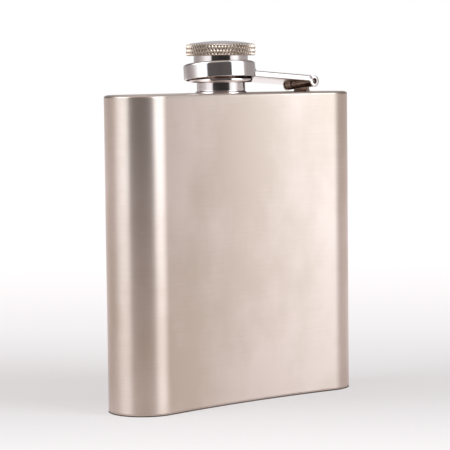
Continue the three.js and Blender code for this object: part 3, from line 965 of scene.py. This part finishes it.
def studio():
    """A surround whose tone is a ramp over the bearing atan2(d . right, d . back), d the direction.
    It goes from the level ramp to the lamps' ramp as d rises, and to the overhead tone above them.
    """
    scene = bpy.context.scene
    scene.view_settings.view_transform = "Standard"
    world = bpy.data.worlds.new("studio")
    scene.world = world
    world.use_nodes = True
    nodes, links = world.node_tree.nodes, world.node_tree.links
    nodes.clear()
    place = nodes.new("ShaderNodeTexCoord")

    def along(direction):
        dot = nodes.new("ShaderNodeVectorMath")
        dot.operation = "DOT_PRODUCT"
        dot.inputs[1].default_value = direction
        links.new(place.outputs["Generated"], dot.inputs[0])
        return dot.outputs["Value"]

    def share_of(value, low, high):
        spread = nodes.new("ShaderNodeMapRange")
        spread.inputs["From Min"].default_value = low
        spread.inputs["From Max"].default_value = high
        links.new(value, spread.inputs["Value"])
        return spread.outputs["Result"]

    turn = nodes.new("ShaderNodeMath")
    turn.operation = "ARCTAN2"
    links.new(along(bearing(CAMERA_AZIMUTH + 90)), turn.inputs[0])
    links.new(along(bearing(CAMERA_AZIMUTH)), turn.inputs[1])
    around_share = share_of(turn.outputs["Value"], -math.pi, math.pi)

    def ramped(stops):
        ramp = nodes.new("ShaderNodeValToRGB")
        links.new(around_share, ramp.inputs["Fac"])
        fill_ramp(ramp, [((b + 180) / 360, t, cool(t)) for b, t in stops])
        return ramp.outputs["Color"]

    def mixed(share, first, second):
        mix = nodes.new("ShaderNodeMix")
        mix.data_type = "RGBA"
        links.new(share, mix.inputs["Factor"])
        links.new(first, mix.inputs["A"])
        if second:
            links.new(second, mix.inputs["B"])
        else:
            mix.inputs["B"].default_value = (OVERHEAD, OVERHEAD, OVERHEAD, 1)
        return mix.outputs["Result"]

    height = along((0, 0, 1))
    level = ramped([(b, t) for b, t, _ in SURROUND])
    lamps = ramped([(b, t) for b, _, t in SURROUND])
    walls = mixed(share_of(height, *LAMP_START), level, lamps)
    tone = mixed(share_of(height, *OVERHEAD_START), walls, None)
    around = nodes.new("ShaderNodeBackground")
    links.new(tone, around.inputs["Color"])
    seen = nodes.new("ShaderNodeBackground")
    seen.inputs["Color"].default_value = (1, 1, 1, 1)
    path = nodes.new("ShaderNodeLightPath")
    mix = nodes.new("ShaderNodeMixShader")
    output = nodes.new("ShaderNodeOutputWorld")
    links.new(path.outputs["Is Camera Ray"], mix.inputs["Fac"])
    links.new(around.outputs["Background"], mix.inputs[1])
    links.new(seen.outputs["Background"], mix.inputs[2])
    links.new(mix.outputs["Shader"], output.inputs["Surface"])


def cool(tone):
    """The bright lamps are cooler than the dim parts of the room."""
    share = min(1, max(0, tone / 2 - 0.3))
    return (1, 1 + 0.2 * share, 1.02 + 0.32 * share)


def fill_ramp(ramp, stops):
    """Puts (place, tone, tint) stops into a ramp node."""
    elements = ramp.color_ramp.elements
    elements.remove(elements[-1])
    for k, (place, tone, tint) in enumerate(stops):
        stop = elements[0] if k == 0 else elements.new(place)
        stop.position = place
        stop.color = (tone * tint[0], tone * tint[1], tone * tint[2], 1)


# How light the paper glows, as painted light, at that many metres behind the flask along the camera's
# heading. The dip round the flask is painted shade.
PAPER_COLOR = (0.26, 0.235, 0.23)
PAPER_PAINTED_GLOW = 0.72
PAPER_TINT = (1, 0.955, 0.95)
PAPER_PAINTED_LIGHT = (
    (-0.5, 0.3),
    (-0.25, 0.6),
    (-0.16, 0.95),
    (-0.10, 0.96),
    (-0.04, 0.79),
    (0.0, 0.70),
    (0.04, 0.69),
    (0.09, 0.76),
    (0.17, 0.88),
    (0.28, 0.97),
    (0.42, 1.05),
)


def staged(name, corners, material):
    """One flat sheet of the stage from its corners, in metres."""
    mesh = bpy.data.meshes.new(name)
    mesh.from_pydata(corners, [], [list(range(len(corners)))])
    mesh.materials.append(material)
    thing = bpy.data.objects.new(name, mesh)
    bpy.context.scene.collection.objects.link(thing)


def floor():
    """A wide flat sheet of pale paper, z = 0, glowing with painted light that lightens away from the
    flask.
    """
    reach, front = 6.0, 0.5
    away = Vector((math.sin(CAMERA_HEADING), math.cos(CAMERA_HEADING), 0))
    across = Vector((away.y, -away.x, 0))
    spots = [(-reach, -front), (reach, -front), (reach, reach), (-reach, reach)]
    corners = [across * a + away * b for a, b in spots]
    finish = Finish("pale_paper", PAPER_COLOR, 0.9, metallic=0.0)
    finish.shader.inputs["Specular IOR Level"].default_value = 0.1
    mapping = finish.node("ShaderNodeMapping")
    mapping.inputs["Rotation"].default_value = (0, 0, CAMERA_HEADING)
    finish.join(finish.place, mapping.inputs["Vector"])
    apart = finish.node("ShaderNodeSeparateXYZ")
    finish.join(mapping.outputs["Vector"], apart.inputs["Vector"])
    near, far = PAPER_PAINTED_LIGHT[0][0], PAPER_PAINTED_LIGHT[-1][0]
    ramp = finish.node("ShaderNodeValToRGB")
    finish.join(finish.spread(apart.outputs["Y"], 0, 1, near, far), ramp.inputs["Fac"])
    fill_ramp(ramp, [((b - near) / (far - near), t, PAPER_TINT) for b, t in PAPER_PAINTED_LIGHT])
    # The glow is painted light, and its dip round the flask is painted shade.
    finish.join(ramp.outputs["Color"], finish.shader.inputs["Emission Color"])
    finish.shader.inputs["Emission Strength"].default_value = PAPER_PAINTED_GLOW
    staged("floor", corners, finish.material)


def shade():
    """The dark paper right under the flask, in place of its shadow: the flask's outline moved out
    by 0.05 mm, and 0.02 mm above the floor.
    """
    spots = outline + 0.05 * outline_normals
    corners = np.column_stack([spots, np.full(len(spots), 0.02)]) * MM
    finish = Finish("shaded_paper", (0.07, 0.06, 0.06), 0.9, metallic=0.0)
    staged("shade", corners.tolist(), finish.material)


# ---------------------------------------------------------------- assembly

make_camera()
studio()
floor()
shade()

steel = brushed_steel()
mirror = polished_steel()
knurl = knurled_steel()
dark = hinge_steel()

piece("shell_sheet", body_shell(), "flask", "body_shell", steel)
piece(
    "top_pan",
    pan(TOP_EDGE, PLATE_THICKNESS, plate_high[2], -1, NECK_RADIUS + FIT_GAP, cap_axis),
    "flask", "top_plate", steel,
)
piece(
    "bottom_pan",
    pan(BOTTOM_EDGE, PLATE_THICKNESS, base_low[2], 1, 0, (0, 0)),
    "flask", "bottom_plate", steel,
)
piece("neck_tube", neck(), "flask", "neck", mirror)
piece("cap_knob", cap_head(), "cap", "cap_head", knurl)
piece("cap_sleeve", cap_skirt(), "cap", "cap_skirt", mirror)
piece("cap_liner", thread_liner(), "cap", "thread_liner", liner_plastic())
piece("cap_seal", seal_disc(), "seal", "seal_disc", seal_rubber())
piece("arm_with_collar", collar_arm(), "arm", "collar_arm", mirror)
piece("hinge_knuckle", hinge_bracket(), "flask", "hinge_bracket", dark)
piece("hinge_ring", hinge_spacer(), "flask", "hinge_spacer", dark)
piece("hinge_rod", hinge_pin(), "flask", "hinge_pin", dark)
